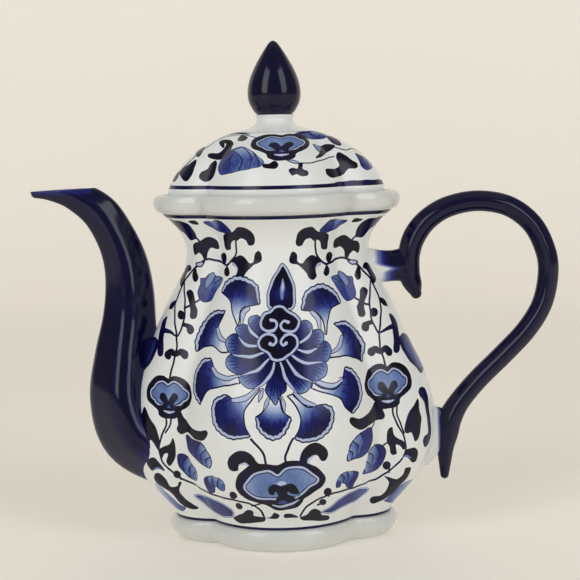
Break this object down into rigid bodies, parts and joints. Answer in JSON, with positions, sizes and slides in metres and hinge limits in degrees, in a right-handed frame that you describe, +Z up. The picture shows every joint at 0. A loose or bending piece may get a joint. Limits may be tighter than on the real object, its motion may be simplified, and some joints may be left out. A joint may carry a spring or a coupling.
{
  "type": "teapot",
  "caption": "Tall four-lobed porcelain teapot with a domed lift-off lid, a bud finial, a long curved spout and an ear-shaped handle, painted in cobalt blue on white.",
  "frame": {"origin": "on the surface the teapot stands on, midway between the spout's tip and the handle's outer side, and midway between the front and the back", "axes": "+Z up, -X towards the spout, +X towards the handle, -Y towards the painted front"},
  "size_m": [0.2414, 0.108, 0.2272],
  "materials": {
    "painted_porcelain": "white porcelain with cobalt underglaze painting, glossy clear glaze",
    "white_porcelain": "glossy white glaze",
    "cobalt_porcelain": "deep cobalt under a glossy clear glaze"
  },
  "bodies": {
    "pot": {"body_shell": "painted_porcelain", "foot_ring": "white_porcelain", "rim_collar": "white_porcelain", "spout": "cobalt_porcelain", "spout_strainer": "white_porcelain", "handle_loop": "cobalt_porcelain", "handle_upper_stub": "white_porcelain", "handle_lower_pad": "cobalt_porcelain"},
    "lid": {"lid_dome": "painted_porcelain", "lid_flange": "white_porcelain", "finial_neck": "white_porcelain", "finial_bud": "cobalt_porcelain"}
  },
  "joints": [
    {"name": "lid_lift", "type": "slide", "parent": "pot", "child": "lid", "axis": [0, 0, 1], "range_m": [0, 0.06]}
  ]
}
